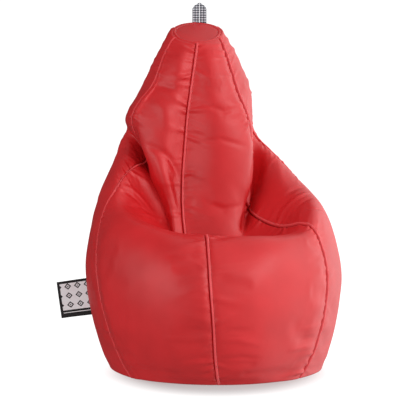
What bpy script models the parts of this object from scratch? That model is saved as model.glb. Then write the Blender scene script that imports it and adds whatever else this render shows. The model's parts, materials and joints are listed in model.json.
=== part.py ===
"""Bean bag chair: a six-panel pear-shaped cover over a liner full of beads, with a base zip, a side label and a
carry loop. Metres, +Z up, the front towards -Y, the origin on the floor under the middle of the base."""

import math

import bmesh
import bpy
import numpy as np
from mathutils import Matrix, Vector

# Driving sizes, in metres
BODY_WIDTH = 0.80
BODY_DEPTH = 0.80
BODY_HEIGHT = 1.10
FOOT_RADIUS = 0.330
CAP_RADIUS = 0.086
CAP_CENTRE = (-0.062, 0.125, 1.056)
CAP_TILT = math.radians(28)
CAP_DOME = 0.011
COVER_THICK = 0.0012  # leatherette on its knitted backing
LINER_THICK = 0.0006
LAYER_GAP = 0.0005
SEAM_GAP = 0.00025  # each panel stops this far from the seam line
LIFT = 0.0004  # the panels' lower edges stay off the floor, which only the base touches
BASE_INSET = 0.003
LINER_BOTTOM = 0.0064
FILL_BOTTOM = 0.0078
ZIP_LONGEST = 0.50
ZIP_HALF_OPENING = 0.006  # from the zip's middle to each base panel's folded edge
LABEL_LOW = 0.148  # the height of its lower corner at the seam
LABEL_OUT = 0.138
LABEL_TALL = 0.120
LABEL_CLEAR = 0.0014  # from the seam's furthest point to the label's root
LABEL_THICK = 0.0010
LOOP_TAPE = 0.023
LOOP_TALL = 0.062
LOOP_THICK = 0.0024

CAGE = {
    -150: [(-12.5, 24, 100), (-14.5, 27.5, 91), (-16, 30, 82), (-17, 31.5, 75.5), (-17.5, 32.5, 69.5),
           (-18, 33.3, 63.5), (-18.5, 34, 57), (-19, 34.5, 50.5), (-19.5, 35, 43), (-20, 35.2, 35),
           (-20.3, 34.8, 25), (-18.7, 32.3, 9)],
    -120: [(-17.5, 19, 99), (-21.5, 21, 90), (-25, 22.5, 81), (-27, 23, 75), (-28.7, 22, 69),
           (-30.7, 21, 63), (-32.5, 20, 57), (-34.2, 18.5, 51), (-36, 17, 44), (-37.4, 15.5, 36),
           (-37.6, 14.5, 26), (-33.4, 17, 9)],
    -90: [(-19.5, 13, 97), (-23.8, 13, 88), (-29, 13, 79), (-28, 14, 74.5), (-28, 13, 71),
          (-30.5, 11, 68), (-33, 9, 63.5), (-35.5, 6, 58), (-38, 4, 51), (-40, 2, 42),
          (-41, 0, 28), (-37, 0, 9)],
    -60: [(-17, 6, 96.5), (-20.8, 4.5, 87.5), (-27, 4, 78), (-23.5, 10.5, 69.5), (-22.2, 12, 65.5),
          (-23.5, 8, 63.5), (-27.5, 1, 61.5), (-31, -4.5, 57), (-35, -9, 49.5), (-36.5, -16, 38),
          (-35.5, -20, 26), (-31, -20, 10)],
    -51: [(-16, 4.6, 96.2), (-19.5, 3.2, 87.2), (-25, 2, 77.5), (-22.5, 5.5, 67), (-19.8, 10, 60.5),
          (-19.3, 9, 55.5), (-23.5, 1.5, 55.5), (-27.8, -6.5, 53.3), (-31.5, -14, 49.3), (-33.5, -22, 40),
          (-33, -25, 26), (-28.5, -24.5, 9.7)],
    -42: [(-14.5, 3.5, 96), (-17.8, 2.5, 87), (-22.3, 1, 77), (-22, 1, 66), (-17.3, 1.5, 54),
          (-15.5, 4.5, 46.5), (-18, -3.5, 44.5), (-22, -12, 46), (-26, -19, 48), (-27.5, -26.5, 41),
          (-28, -30, 26), (-25, -28.5, 9.5)],
    -20: [(-10.8, 2.2, 96), (-12.5, 1, 87), (-14.5, 0, 77), (-15.8, -1, 65), (-14.8, -1, 53),
          (-13.2, -3, 42.5), (-13, -11, 36), (-14, -18, 40), (-15, -25.5, 44.5), (-15.5, -33.5, 39.5),
          (-16, -37.5, 25.5), (-14.5, -36, 9)],
    0: [(-6.9, 3, 96), (-8.2, 2, 87), (-9.4, 2, 77), (-10.4, 2, 65), (-11, 1, 53),
        (-10, -3, 41), (-8, -11, 34), (-5, -20, 38), (-3.5, -27, 43), (-3, -36, 38),
        (-2, -41, 25), (-1, -39, 9)],
    20: [(-2.5, 2.2, 96), (-1.5, 0.5, 87), (-1, -0.5, 77), (-0.5, -1, 65), (-1.5, -1, 53),
         (-1, -4, 41), (2, -11.5, 34.5), (7, -20, 38.5), (11, -27.5, 43), (13, -34.5, 38),
         (14, -38, 25), (13, -36.5, 9)],
    42: [(2, 3.5, 96), (4.5, 2, 87), (7.5, 1, 77), (10, 1, 65.5), (9.2, 1, 54),
         (7, -2, 43), (9, -8.5, 37), (14.5, -14.5, 39.5), (21.5, -22, 42.8), (24, -27.5, 40.5),
         (27, -30, 26.5), (24, -28.5, 9.5)],
    60: [(4, 6, 96), (7, 5, 86.5), (10.5, 4, 77.5), (11.5, 6.5, 70), (10.2, 9.5, 60),
         (9.5, 7, 50.5), (13.5, 0, 46), (20.5, -9, 44), (27, -17.5, 46), (31, -21, 41),
         (33, -22.5, 27.5), (29.5, -22.5, 9.5)],
    90: [(6.5, 12, 98), (10, 12, 89.5), (11.5, 12, 81), (11.8, 13, 74), (13, 14.5, 67.5),
         (16.5, 12.5, 62), (21, 8, 58), (26.5, 2, 55), (31.5, -3, 52), (36, -4, 43.5),
         (39, -3, 28), (36, -3, 9)],
    120: [(6, 18.5, 99.5), (10, 20, 91), (11.8, 21, 84), (12, 21, 77.5), (13.8, 20, 71.5),
          (19.5, 18, 66.5), (25, 16.5, 61), (29.5, 16, 55), (32.8, 16.5, 48), (35, 17, 39),
          (35.5, 18, 27), (32.5, 18.5, 9)],
    150: [(2.5, 24, 100.5), (6, 27, 92), (9, 29, 85), (10, 29.5, 78), (12, 30, 72),
          (15, 30.5, 66), (17.5, 31.5, 59), (19, 32.5, 51), (20, 33.5, 43), (20.5, 34.5, 35),
          (20.5, 34.8, 25), (18.7, 32.3, 9)],
    180: [(-5.5, 25, 101), (-5, 29, 92), (-4.5, 32, 83), (-4, 34, 76), (-3.5, 35.5, 70),
          (-3, 36.5, 64), (-2.5, 37.5, 57), (-2, 38.5, 50), (-1, 39.5, 42), (0, 40, 34),
          (0, 39.8, 24), (0, 37, 9)],
}
# The foot ring's bearings, in degrees: the seams wander a little where the bag settles on the floor.
FOOT_BEARING = {-150: -150, -120: -120, -90: -86, -60: -51, -51: -43, -42: -36, -20: -18, 0: 0, 20: 18, 42: 34, 60: 48,
                90: 80, 120: 118, 150: 150, 180: 180}


# How many steps each cage column and each cage row is drawn in: the folds at the front need the finer ones
FRONT_STEPS, BACK_STEPS, ROW_STEPS = 3, 2, 2
FITTING_PASSES = 8

SCALE = Vector((BODY_WIDTH / 0.80, BODY_DEPTH / 0.80, BODY_HEIGHT / 1.10))
ZIP_Y = 0.5 * FOOT_RADIUS * SCALE.y - 0.0025
ZIP_LENGTH = min(ZIP_LONGEST, 1.742 * SCALE.x * math.sqrt(FOOT_RADIUS ** 2 - (ZIP_Y / SCALE.y) ** 2))  # it ends short of the side seams

MATERIALS = {
    "red_leatherette": ((0.56, 0.022, 0.026), 0.42, 0.0),
    "black_base_cloth": ((0.02, 0.02, 0.02), 0.8, 0.0),
    "woven_label": ((0.62, 0.62, 0.63), 0.75, 0.0),
    "checked_webbing": ((0.40, 0.40, 0.42), 0.7, 0.0),
    "black_nylon": ((0.015, 0.015, 0.016), 0.4, 0.0),
    "blackened_zinc": ((0.06, 0.06, 0.065), 0.35, 1.0),
    "hook_and_loop": ((0.75, 0.75, 0.73), 0.85, 0.0),
    "liner_cloth": ((0.82, 0.81, 0.78), 0.85, 0.0),
    "polystyrene_beads": ((0.90, 0.90, 0.89), 0.6, 0.0),
}


def clear_scene():
    for obj in list(bpy.data.objects):
        bpy.data.objects.remove(obj)


def material(name):
    made = bpy.data.materials.get(name)
    if made is None:
        colour, roughness, metallic = MATERIALS[name]
        made = bpy.data.materials.new(name)
        made.use_nodes = True
        shader = made.node_tree.nodes["Principled BSDF"]
        shader.inputs["Base Color"].default_value = (*colour, 1)
        shader.inputs["Roughness"].default_value = roughness
        shader.inputs["Metallic"].default_value = metallic
    return made


def add_object(name, bm, material_name, origin=(0, 0, 0), parent=None):
    """Turns a bmesh drawn in world coordinates into an object whose origin is where it is asked for."""
    origin = Vector(origin)
    bmesh.ops.recalc_face_normals(bm, faces=bm.faces)
    bmesh.ops.translate(bm, verts=bm.verts, vec=-origin)
    mesh = bpy.data.meshes.new(name)
    bm.to_mesh(mesh)
    bm.free()
    obj = bpy.data.objects.new(name, mesh)
    bpy.context.scene.collection.objects.link(obj)
    obj.location = origin
    obj.data.materials.append(material(material_name))
    if parent is not None:
        obj.parent = parent
        obj.matrix_parent_inverse = Matrix.Translation(parent.location).inverted()
    return obj


def cap_axes():
    """The cap's forward, sideways and upward directions."""
    tilt = CAP_TILT
    return Vector((0, -math.cos(tilt), -math.sin(tilt))), Vector((1, 0, 0)), Vector((0, -math.sin(tilt), math.cos(tilt)))


def cap_point(bearing, share, lift):
    forward, side, up = cap_axes()
    angle = math.radians(bearing)
    flat = forward * math.cos(angle) + side * math.sin(angle)
    point = Vector(CAP_CENTRE) + flat * CAP_RADIUS * share + up * lift
    return Vector(a * b for a, b in zip(point, SCALE))


def cage_rows():
    """The cage as rows of points in metres: the cap's edge, the rows of CAGE, the foot."""
    bearings = sorted(CAGE)
    rows = [[cap_point(b, 1, 0) for b in bearings]]
    for i in range(len(CAGE[0])):
        rows.append([Vector(CAGE[b][i]) * SCALE * 0.01 for b in bearings])
    foot = [math.radians(FOOT_BEARING[b]) for b in bearings]
    rows.append([Vector((FOOT_RADIUS * math.sin(a), -FOOT_RADIUS * math.cos(a), 0)) * SCALE for a in foot])
    return np.array(rows)


def with_ends(rows):
    return np.concatenate([2 * rows[:1] - rows[1:2], rows, 2 * rows[-1:] - rows[-2:-1]])


def smoothed(rows):
    """Where a cubic B-spline surface passes nearest to each control point."""
    padded = with_ends(rows)
    down = (padded[:-2] + 4 * padded[1:-1] + padded[2:]) / 6
    return (np.roll(down, 1, 1) + 4 * down + np.roll(down, -1, 1)) / 6


def weights(f):
    return np.array([(1 - f) ** 3, 3 * f**3 - 6 * f**2 + 4, -3 * f**3 + 3 * f**2 + 3 * f + 1, f**3]) / 6


def skin_grid():
    """The cover's outer surface as a grid of points, the bearing label of each column, and which columns are seams."""
    wanted = cage_rows()
    control = wanted.copy()
    for _ in range(FITTING_PASSES):
        control += wanted - smoothed(control)
    padded = with_ends(with_ends(control))
    columns = control.shape[1]
    bearings = sorted(CAGE)
    down = []
    for step in range((len(control) - 1) * ROW_STEPS + 1):
        i = min(step // ROW_STEPS, len(control) - 2)
        share = weights(step / ROW_STEPS - i)
        down.append(sum(share[k] * padded[i + 1 + k] for k in range(4)))
    down = np.array(down)
    across, labels = [], []
    for j, bearing in enumerate(bearings):
        after = bearings[(j + 1) % columns] + (360 if j == columns - 1 else 0)
        steps = FRONT_STEPS if -42 <= bearing < 60 else BACK_STEPS
        for k in range(steps):
            share = weights(k / steps)
            across.append(sum(share[m] * down[:, (j - 1 + m) % columns] for m in range(4)))
            labels.append(bearing + (after - bearing) * k / steps)
    grid = np.stack(across, 1)
    grid[..., 2] = np.maximum(grid[..., 2], LIFT)
    return grid, labels


def cap_rings(labels):
    """The dome's rings from the edge inwards, without the edge itself and with the middle point last."""
    steps = [(0.93, 0.45), (0.72, 0.78), (0.38, 0.97)]
    rings = [[cap_point(b, share, lift * CAP_DOME) for b in labels] for share, lift in steps]
    return rings, cap_point(0, 0, CAP_DOME)


def shorter_diagonals(grid):
    """For each cell of a grid that closes round, whether its diagonal runs from upper right to lower left. Every layer
    is split the same way, or the layers would cut through each other."""
    after = np.roll(grid, -1, 1)
    down = np.linalg.norm(grid[:-1] - after[1:], axis=-1)
    up = np.linalg.norm(after[:-1] - grid[1:], axis=-1)
    return up < down


def add_cell(bm, a, b, c, d, slope):
    """Two triangles for the cell a-b-c-d, split from b to d when slope is set, otherwise from a to c."""
    for corners in ((a, b, d), (b, c, d)) if slope else ((a, b, c), (a, c, d)):
        bm.faces.new(corners)


class Skin:
    """The whole closed form: the dome, the grid and the floor, with a normal at every point."""

    def __init__(self):
        self.grid, self.labels = skin_grid()
        self.rows, self.columns = self.grid.shape[:2]
        rings, top = cap_rings(self.labels)
        self.rings = np.array(rings)
        self.top = np.array(top)
        self.slopes = np.concatenate([np.zeros((len(rings), self.columns), bool), shorter_diagonals(self.grid)])
        bm = bmesh.new()
        loops = [[bm.verts.new(p) for p in ring] for ring in list(self.rings[::-1]) + list(self.grid)]
        peak = bm.verts.new(self.top)
        under = bm.verts.new((0, 0, LIFT))
        count = self.columns
        for j in range(count):
            k = (j + 1) % count
            bm.faces.new((peak, loops[0][j], loops[0][k]))
            bm.faces.new((under, loops[-1][k], loops[-1][j]))
            for upper, lower in zip(loops, loops[1:]):
                bm.faces.new((upper[j], lower[j], lower[k], upper[k]))
        bmesh.ops.recalc_face_normals(bm, faces=bm.faces)
        bm.normal_update()
        normals = np.array([[v.normal[:] for v in loop] for loop in loops])
        inner = len(self.rings)
        self.ring_normals = normals[:inner][::-1]
        self.grid_normals = normals[inner:]
        self.top_normal = np.array(peak.normal)
        bm.free()

    def seam_column(self, bearing):
        return self.labels.index(bearing)

    def closed(self, depth, bottom):
        """A closed bmesh this far inside the cover's outer surface, with a flat underside at this height."""
        grid = self.grid - depth * self.grid_normals
        grid[..., 2] = np.maximum(grid[..., 2], bottom)
        rings = self.rings - depth * self.ring_normals
        bm = bmesh.new()
        loops = [[bm.verts.new(p) for p in ring] for ring in list(rings[::-1]) + list(grid)]
        peak = bm.verts.new(self.top - depth * self.top_normal)
        for j in range(self.columns):
            k = (j + 1) % self.columns
            bm.faces.new((peak, loops[0][j], loops[0][k]))
            for upper, lower, slopes in zip(loops, loops[1:], self.slopes):
                add_cell(bm, upper[k], upper[j], lower[j], lower[k], not slopes[j])
        bmesh.ops.holes_fill(bm, edges=[e for e in bm.edges if e.is_boundary], sides=0)
        return bm


def shell(outer, inner, slopes, closed_loop):
    """A bmesh from two matching sheets of points, [row][column], with the rim between them. closed_loop joins the last
    column to the first and leaves the first row open."""
    bm = bmesh.new()
    sheets = [[[bm.verts.new(p) for p in row] for row in sheet] for sheet in (outer, inner)]
    rows, columns = len(outer), len(outer[0])
    spans = [(j, (j + 1) % columns) for j in range(columns if closed_loop else columns - 1)]
    for sheet in sheets:
        for i in range(rows - 1):
            for j, k in spans:
                add_cell(bm, sheet[i][k], sheet[i][j], sheet[i + 1][j], sheet[i + 1][k], not slopes[i][j])
    a, b = sheets
    for i in ([rows - 1] if closed_loop else [0, rows - 1]):
        for j, k in spans:
            bm.faces.new((a[i][j], b[i][j], b[i][k], a[i][k]))
    if not closed_loop:
        for j in (0, columns - 1):
            for i in range(rows - 1):
                bm.faces.new((a[i][j], a[i + 1][j], b[i + 1][j], b[i][j]))
    return bm


def drawn_in(points, edge, along, amount):
    """Moves the edge rows of a grid of points inwards, towards their neighbours, by this amount."""
    moved = points.copy()
    take = [slice(None)] * 2
    take[along], beside = edge, [slice(None)] * 2
    beside[along] = edge + 1 if edge == 0 else edge - 1
    way = points[tuple(beside)] - points[tuple(take)]
    moved[tuple(take)] += amount * way / np.linalg.norm(way, axis=-1, keepdims=True)
    return moved


def add_side_panels(skin, parent):
    names = {0: "panel_front_right", 60: "panel_side_right", 120: "panel_back_right", -60: "panel_front_left",
             -120: "panel_side_left", 180: "panel_back_left"}
    seams = [-120, -60, 0, 60, 120, 180]
    for start, end in zip(seams[-1:] + seams[:-1], seams):
        first, last = skin.seam_column(start), skin.seam_column(end)
        across = [(first + s) % skin.columns for s in range((last - first) % skin.columns + 1)]
        sheets = []
        for depth in (0, COVER_THICK):
            points = skin.grid[:, across] - depth * skin.grid_normals[:, across]
            points = drawn_in(drawn_in(points, 0, 1, SEAM_GAP), -1, 1, SEAM_GAP)
            points = drawn_in(points, 0, 0, SEAM_GAP)
            points[..., 2] = np.maximum(points[..., 2], LIFT)
            sheets.append(points)
        slopes = skin.slopes[len(skin.rings):, across]
        add_object(names[start], shell(*sheets, slopes, False), "red_leatherette", parent=parent)


def add_top_cap(skin, parent):
    sheets = []
    for depth in (0, COVER_THICK):
        rings = skin.rings - depth * skin.ring_normals
        edge = (skin.grid[0] - depth * skin.grid_normals[0])[None]
        points = np.concatenate([rings[::-1], edge])
        sheets.append(drawn_in(points, -1, 0, SEAM_GAP))
    bm = shell(*sheets, skin.slopes, True)
    for depth in (0, COVER_THICK):
        peak = bm.verts.new(skin.top - depth * skin.top_normal)
        bm.verts.ensure_lookup_table()
        ring = [min(bm.verts, key=lambda v: (v.co - Vector(p)).length) for p in sheets[depth > 0][0]]
        for j, vert in enumerate(ring):
            bm.faces.new((peak, vert, ring[(j + 1) % len(ring)]))
    add_object("top_cap", bm, "red_leatherette", parent=parent)


def box(bm, low, high):
    """Adds a box between two corners."""
    low, high = Vector(low), Vector(high)
    size = high - low
    made = bmesh.ops.create_cube(bm, size=1, matrix=Matrix.LocRotScale((low + high) / 2, None, size))
    return made["verts"]


def prism(outline, start, length, along):
    """A closed bmesh: the outline's points, lifted along a direction."""
    bm = bmesh.new()
    face = bm.faces.new([bm.verts.new(Vector(p) + Vector(along) * start) for p in outline])
    lifted = bmesh.ops.extrude_face_region(bm, geom=[face], use_keep_orig=True)
    moved = [v for v in lifted["geom"] if isinstance(v, bmesh.types.BMVert)]
    bmesh.ops.translate(bm, verts=moved, vec=Vector(along) * length)
    return bm


def add_base(skin, parent):
    foot = skin.grid[-1]
    lengths = np.linalg.norm(foot[:, :2], axis=1)[:, None]
    outline = foot[:, :2] * (lengths - BASE_INSET) / lengths
    for name, sign in (("base_front_panel", -1), ("base_rear_panel", 1)):
        bm = prism([(x, y, 0) for x, y in outline], 0, COVER_THICK, (0, 0, 1))
        geom = list(bm.verts) + list(bm.edges) + list(bm.faces)
        cut = bmesh.ops.bisect_plane(bm, geom=geom, plane_co=(0, ZIP_Y + sign * ZIP_HALF_OPENING, 0),
                                     plane_no=(0, -sign, 0), clear_outer=True)
        edges = [e for e in cut["geom_cut"] if isinstance(e, bmesh.types.BMEdge)]
        bmesh.ops.holes_fill(bm, edges=edges, sides=0)
        add_object(name, bm, "black_base_cloth", parent=parent)


def add_zip(parent):
    millimetre = 0.001
    tape = [(2.6, 2.9), (5.2, 2.9), (8.0, 1.5), (19, 1.5), (19, 2.1), (8.4, 2.1), (5.4, 3.5), (2.6, 3.5)]
    row = [(0.8, 2.4), (1.1, 2.1), (2.0, 2.1), (2.3, 2.4), (2.3, 4.0), (2.0, 4.3), (1.1, 4.3), (0.8, 4.0)]
    row_length = ZIP_LENGTH - 0.014
    for side, sign in (("front", -1), ("rear", 1)):
        for name, outline, length, look in ((f"zip_tape_{side}", tape, ZIP_LENGTH, "black_base_cloth"),
                                            (f"zip_teeth_{side}", row, row_length, "black_nylon")):
            points = [(0, ZIP_Y + sign * y * millimetre, z * millimetre) for y, z in outline]
            add_object(name, prism(points, -length / 2, length, (1, 0, 0)), look, parent=parent)
    for side, sign in (("left", -1), ("right", 1)):
        bm = bmesh.new()
        near, far = row_length / 2 + 0.0004, row_length / 2 + 0.0034
        xs = sorted((sign * near, sign * far))
        box(bm, (xs[0], ZIP_Y - 0.0023, 0.0021), (xs[1], ZIP_Y + 0.0023, 0.0043))
        bmesh.ops.bevel(bm, geom=bm.edges, offset=0.0003, segments=1, affect="EDGES")
        add_object(f"zip_stop_{side}", bm, "blackened_zinc", parent=parent)
    add_zip_slider(-row_length / 2 + 0.0065, parent)


def add_zip_slider(x, parent):
    """Two plates joined by the post that spreads the teeth, each with side flanges. It has no pull, only a keyhole,
    so that a child can't open it."""
    bm = bmesh.new()
    outline = [(-5.5, -3.2), (-3.5, -4.4), (2.5, -4.4), (5.5, -3.0), (5.5, 3.0), (2.5, 4.4), (-3.5, 4.4), (-5.5, 3.2)]
    for low, high in ((0.6, 1.7), (4.7, 5.8)):
        plate = prism([(x + a * 0.001, ZIP_Y + b * 0.001, low * 0.001) for a, b in outline], 0,
                      (high - low) * 0.001, (0, 0, 1))
        mesh = bpy.data.meshes.new("plate")
        plate.to_mesh(mesh)
        plate.free()
        bm.from_mesh(mesh)
        bpy.data.meshes.remove(mesh)
    slider = add_object("zip_slider", bm, "blackened_zinc", origin=(x, ZIP_Y, 0.0032), parent=parent)
    joins = [((2.0, -0.45, 1.2), (5.0, 0.45, 5.2))]
    for sign in (-1, 1):
        ys = sorted((sign * 3.5, sign * 4.3))
        joins.append(((-3.4, ys[0], 1.2), (2.4, ys[1], 2.4)))
        joins.append(((-3.4, ys[0], 4.0), (2.4, ys[1], 5.2)))
    for i, (low, high) in enumerate(joins):
        part = bmesh.new()
        box(part, [(x, ZIP_Y, 0)[a] + low[a] * 0.001 for a in range(3)],
            [(x, ZIP_Y, 0)[a] + high[a] * 0.001 for a in range(3)])
        boolean(slider, part, "UNION", f"slider_join_{i}")
    hole = bmesh.new()
    bmesh.ops.create_cone(hole, cap_ends=True, segments=16, radius1=0.0007, radius2=0.0007, depth=0.004,
                          matrix=Matrix.Translation((x - 0.0040, ZIP_Y, 0.0010)))
    boolean(slider, hole, "DIFFERENCE", "slider_keyhole")


def boolean(obj, bm, operation, name):
    """Joins or cuts with a hidden helper."""
    helper = add_object(name, bm, "blackened_zinc")
    helper.hide_render = True
    helper.display_type = "WIRE"
    modifier = obj.modifiers.new(name, "BOOLEAN")
    modifier.operation = operation
    modifier.solver = "EXACT"
    modifier.object = helper


def add_liner(skin, parent):
    depth = COVER_THICK + LAYER_GAP
    liner = add_object("inner_liner", skin.closed(depth, LINER_BOTTOM), "liner_cloth", parent=parent)
    boolean(liner, skin.closed(depth + LINER_THICK, LINER_BOTTOM + LINER_THICK), "DIFFERENCE", "liner_hollow")
    mouth = bmesh.new()
    box(mouth, (-0.160, ZIP_Y - 0.012, LINER_BOTTOM - 0.004), (0.160, ZIP_Y + 0.012, LINER_BOTTOM + 0.004))
    boolean(liner, mouth, "DIFFERENCE", "liner_mouth")
    strip = bmesh.new()
    box(strip, (-0.1595, ZIP_Y - 0.0115, LINER_BOTTOM + 0.0001), (0.1595, ZIP_Y + 0.0115, LINER_BOTTOM + 0.0010))
    add_object("liner_closure", strip, "hook_and_loop", parent=parent)
    depth += LINER_THICK + 2 * LAYER_GAP
    add_object("bead_fill", skin.closed(depth, FILL_BOTTOM), "polystyrene_beads", parent=parent)


def add_side_label(skin, parent):
    """A woven label in the left-hand rear seam. Its hinge is the seam, and it points to the left."""
    column = skin.seam_column(-120)
    points, normals = skin.grid[:, column], skin.grid_normals[:, column]
    ends, outwards = [], []
    for height in (LABEL_LOW * SCALE.z, LABEL_LOW * SCALE.z + LABEL_TALL):
        below = max(i for i in range(len(points)) if points[i][2] >= height)
        share = (points[below][2] - height) / (points[below][2] - points[below + 1][2])
        ends.append(Vector(points[below] + share * (points[below + 1] - points[below])))
        outwards.append(Vector(normals[below]))
    low, high = ends
    up = (high - low).normalized()
    outward = (outwards[0] + outwards[1]).normalized()
    outward = (outward - outward.dot(up) * up).normalized()
    between = [Vector(p) for p in points if low.z < p[2] < high.z]
    bulge = max([0] + [(p - low).dot(outward) for p in between])     # the seam curves out past its own chord
    low, high = low + (bulge + LABEL_CLEAR) * outward, high + (bulge + LABEL_CLEAR) * outward
    out = Vector((-0.9916, 0, -0.129))
    across = out.cross(up).normalized()
    corners = [low, low + out * LABEL_OUT, high + out * LABEL_OUT, high]
    bm = prism(corners, -LABEL_THICK / 2, LABEL_THICK, across)
    add_object("side_label", bm, "woven_label", origin=(low + high) / 2, parent=parent)


def add_carry_loop(skin, parent):
    """Webbing folded to a point, its two legs side by side, in the seam behind the cap."""
    edge = Vector(skin.grid[0, skin.seam_column(180)])
    root = edge + Vector((0.010, 0.0016, 0.0016))
    half, tall, slit = LOOP_TAPE, LOOP_TALL, 0.0008
    outline = [(-half, 0), (-half, tall * 0.66), (-half * 0.82, tall * 0.80), (0, tall), (half * 0.82, tall * 0.80),
               (half, tall * 0.66), (half, 0), (slit, 0), (slit, tall * 0.60), (-slit, tall * 0.60), (-slit, 0)]
    points = [root + Vector((x, 0, z)) for x, z in outline]
    bm = prism(points, 0, LOOP_THICK, (0, 1, 0))
    add_object("carry_loop", bm, "checked_webbing", origin=root + Vector((0, LOOP_THICK / 2, 0)), parent=parent)


clear_scene()
chair = bpy.data.objects.new("bean_bag_chair", None)
bpy.context.scene.collection.objects.link(chair)
skin = Skin()
add_side_panels(skin, chair)
add_top_cap(skin, chair)
add_base(skin, chair)
add_zip(chair)
add_liner(skin, chair)
add_side_label(skin, chair)
add_carry_loop(skin, chair)
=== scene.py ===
import json
import math

import bmesh
import bpy
import numpy as np
from mathutils import Matrix, Vector


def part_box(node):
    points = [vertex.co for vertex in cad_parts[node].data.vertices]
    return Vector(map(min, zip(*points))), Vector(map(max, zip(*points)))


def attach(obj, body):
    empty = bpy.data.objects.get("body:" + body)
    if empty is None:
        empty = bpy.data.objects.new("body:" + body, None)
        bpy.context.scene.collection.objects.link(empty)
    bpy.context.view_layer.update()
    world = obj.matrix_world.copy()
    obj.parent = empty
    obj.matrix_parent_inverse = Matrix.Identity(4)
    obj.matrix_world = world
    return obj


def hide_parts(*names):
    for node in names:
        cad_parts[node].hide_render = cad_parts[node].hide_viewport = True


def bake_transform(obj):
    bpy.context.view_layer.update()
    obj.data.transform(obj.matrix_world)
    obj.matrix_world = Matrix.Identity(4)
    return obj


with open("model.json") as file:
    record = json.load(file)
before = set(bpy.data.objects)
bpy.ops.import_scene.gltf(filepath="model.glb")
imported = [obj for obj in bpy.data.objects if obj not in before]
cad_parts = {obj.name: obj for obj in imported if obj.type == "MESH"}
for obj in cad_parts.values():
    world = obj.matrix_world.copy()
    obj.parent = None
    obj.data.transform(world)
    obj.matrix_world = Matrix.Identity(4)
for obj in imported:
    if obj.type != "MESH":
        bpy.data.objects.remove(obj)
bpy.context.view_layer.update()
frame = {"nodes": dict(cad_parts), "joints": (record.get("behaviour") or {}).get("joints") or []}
scene = bpy.context.scene
mm = 0.001

# small tools


def toLinear(colour):
    parts = [int(colour[i : i + 2], 16) / 255 for i in (1, 3, 5)]
    return [p / 12.92 if p <= 0.04045 else ((p + 0.055) / 1.055) ** 2.4 for p in parts] + [1]


def addNode(tree, kind, settings=None, links=None, stops=(), **options):
    node = tree.nodes.new(kind)
    for name, value in options.items():
        setattr(node, name, value)
    for name, value in {**(settings or {}), **(links or {})}.items():
        if isinstance(value, bpy.types.NodeSocket):
            tree.links.new(value, node.inputs[name])
        else:
            node.inputs[name].default_value = toLinear(value) if isinstance(value, str) else value
    for number, (place, colour) in enumerate(stops):
        while len(node.color_ramp.elements) <= number:
            node.color_ramp.elements.new(1.0)
        node.color_ramp.elements[number].position = place
        node.color_ramp.elements[number].color = toLinear(colour)
    return node


def newMaterial(name, **settings):
    material = bpy.data.materials.new(name)
    material.use_nodes = True
    tree = material.node_tree
    shader = tree.nodes["Principled BSDF"]
    for socket, value in settings.items():
        socket = socket.replace("_", " ")
        shader.inputs[socket].default_value = toLinear(value) if isinstance(value, str) else value
    return material, tree, shader


def finished(name, bm, material):
    mesh = bpy.data.meshes.new(name)
    bm.to_mesh(mesh)
    bm.free()
    made = bpy.data.objects.new(name, mesh)
    scene.collection.objects.link(made)
    mesh.materials.append(material)
    mesh.shade_smooth()
    return made


def thicken(piece, thickness, offset=-1):
    wall = piece.modifiers.new("cloth_thickness", "SOLIDIFY")
    wall.thickness = thickness
    wall.offset = offset
    wall.use_even_offset = False


# camera, light and floor

studio = {
    "cameraPlace": (-0.05, -4.0, 0.68),
    "lens": 115.2,
    "pitchDown": 2.263,
    # each softbox's name, its place, how high up the chair it points, how wide it is and its power
    "softboxes": [
        ("key_softbox", (2.2, -2.6, 2.4), 0.55, 1.3, 38),
        ("right_softbox", (2.7, -0.3, 1.0), 0.5, 3.2, 24),
        ("top_softbox", (0.3, 0.4, 3.2), 0.5, 2.2, 2),
        ("fill_softbox", (-2.6, -2.4, 1.2), 0.5, 2.0, 36),
    ],
    "reflectedFrom": (0.95, -0.15, 0.25),  # the bright wall that the cloth's gloss mirrors lies this way
    "reflected": {"From Min": 0.0, "From Max": 0.9, "To Min": 0.05, "To Max": 3.4},
    "ambient": {"From Min": -1.0, "From Max": 1.0, "To Min": 0.88, "To Max": 0.58},
    "sweep": 1.1,  # how bright the paper behind the chair is
    "floorHalf": 12,
    # the floor's own glow by distance from the chair: low near the foot as a painted shadow, full further out
    "floorGlowAndPaintedShadow": {"From Min": 0.30, "From Max": 0.50, "To Min": 0.36, "To Max": 1.0},
    "paintedShadowPlace": {"Location": (0, 0.08, 0), "Scale": (1.3, 1, 1)},
}


def addCamera():
    data = bpy.data.cameras.new("camera")
    data.lens = studio["lens"]
    data.sensor_width = 36
    camera = bpy.data.objects.new("camera", data)
    scene.collection.objects.link(camera)
    camera.location = studio["cameraPlace"]
    camera.rotation_euler = (math.radians(90 - studio["pitchDown"]), 0, 0)
    scene.camera = camera


def addSoftbox(name, place, aim, size, power):
    data = bpy.data.lights.new(name, "AREA")
    data.shape = "DISK"
    data.size = size
    data.energy = power
    light = bpy.data.objects.new(name, data)
    scene.collection.objects.link(light)
    light.location = place
    light.rotation_euler = (Vector((0, 0, aim)) - Vector(place)).to_track_quat("-Z", "Y").to_euler()


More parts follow.
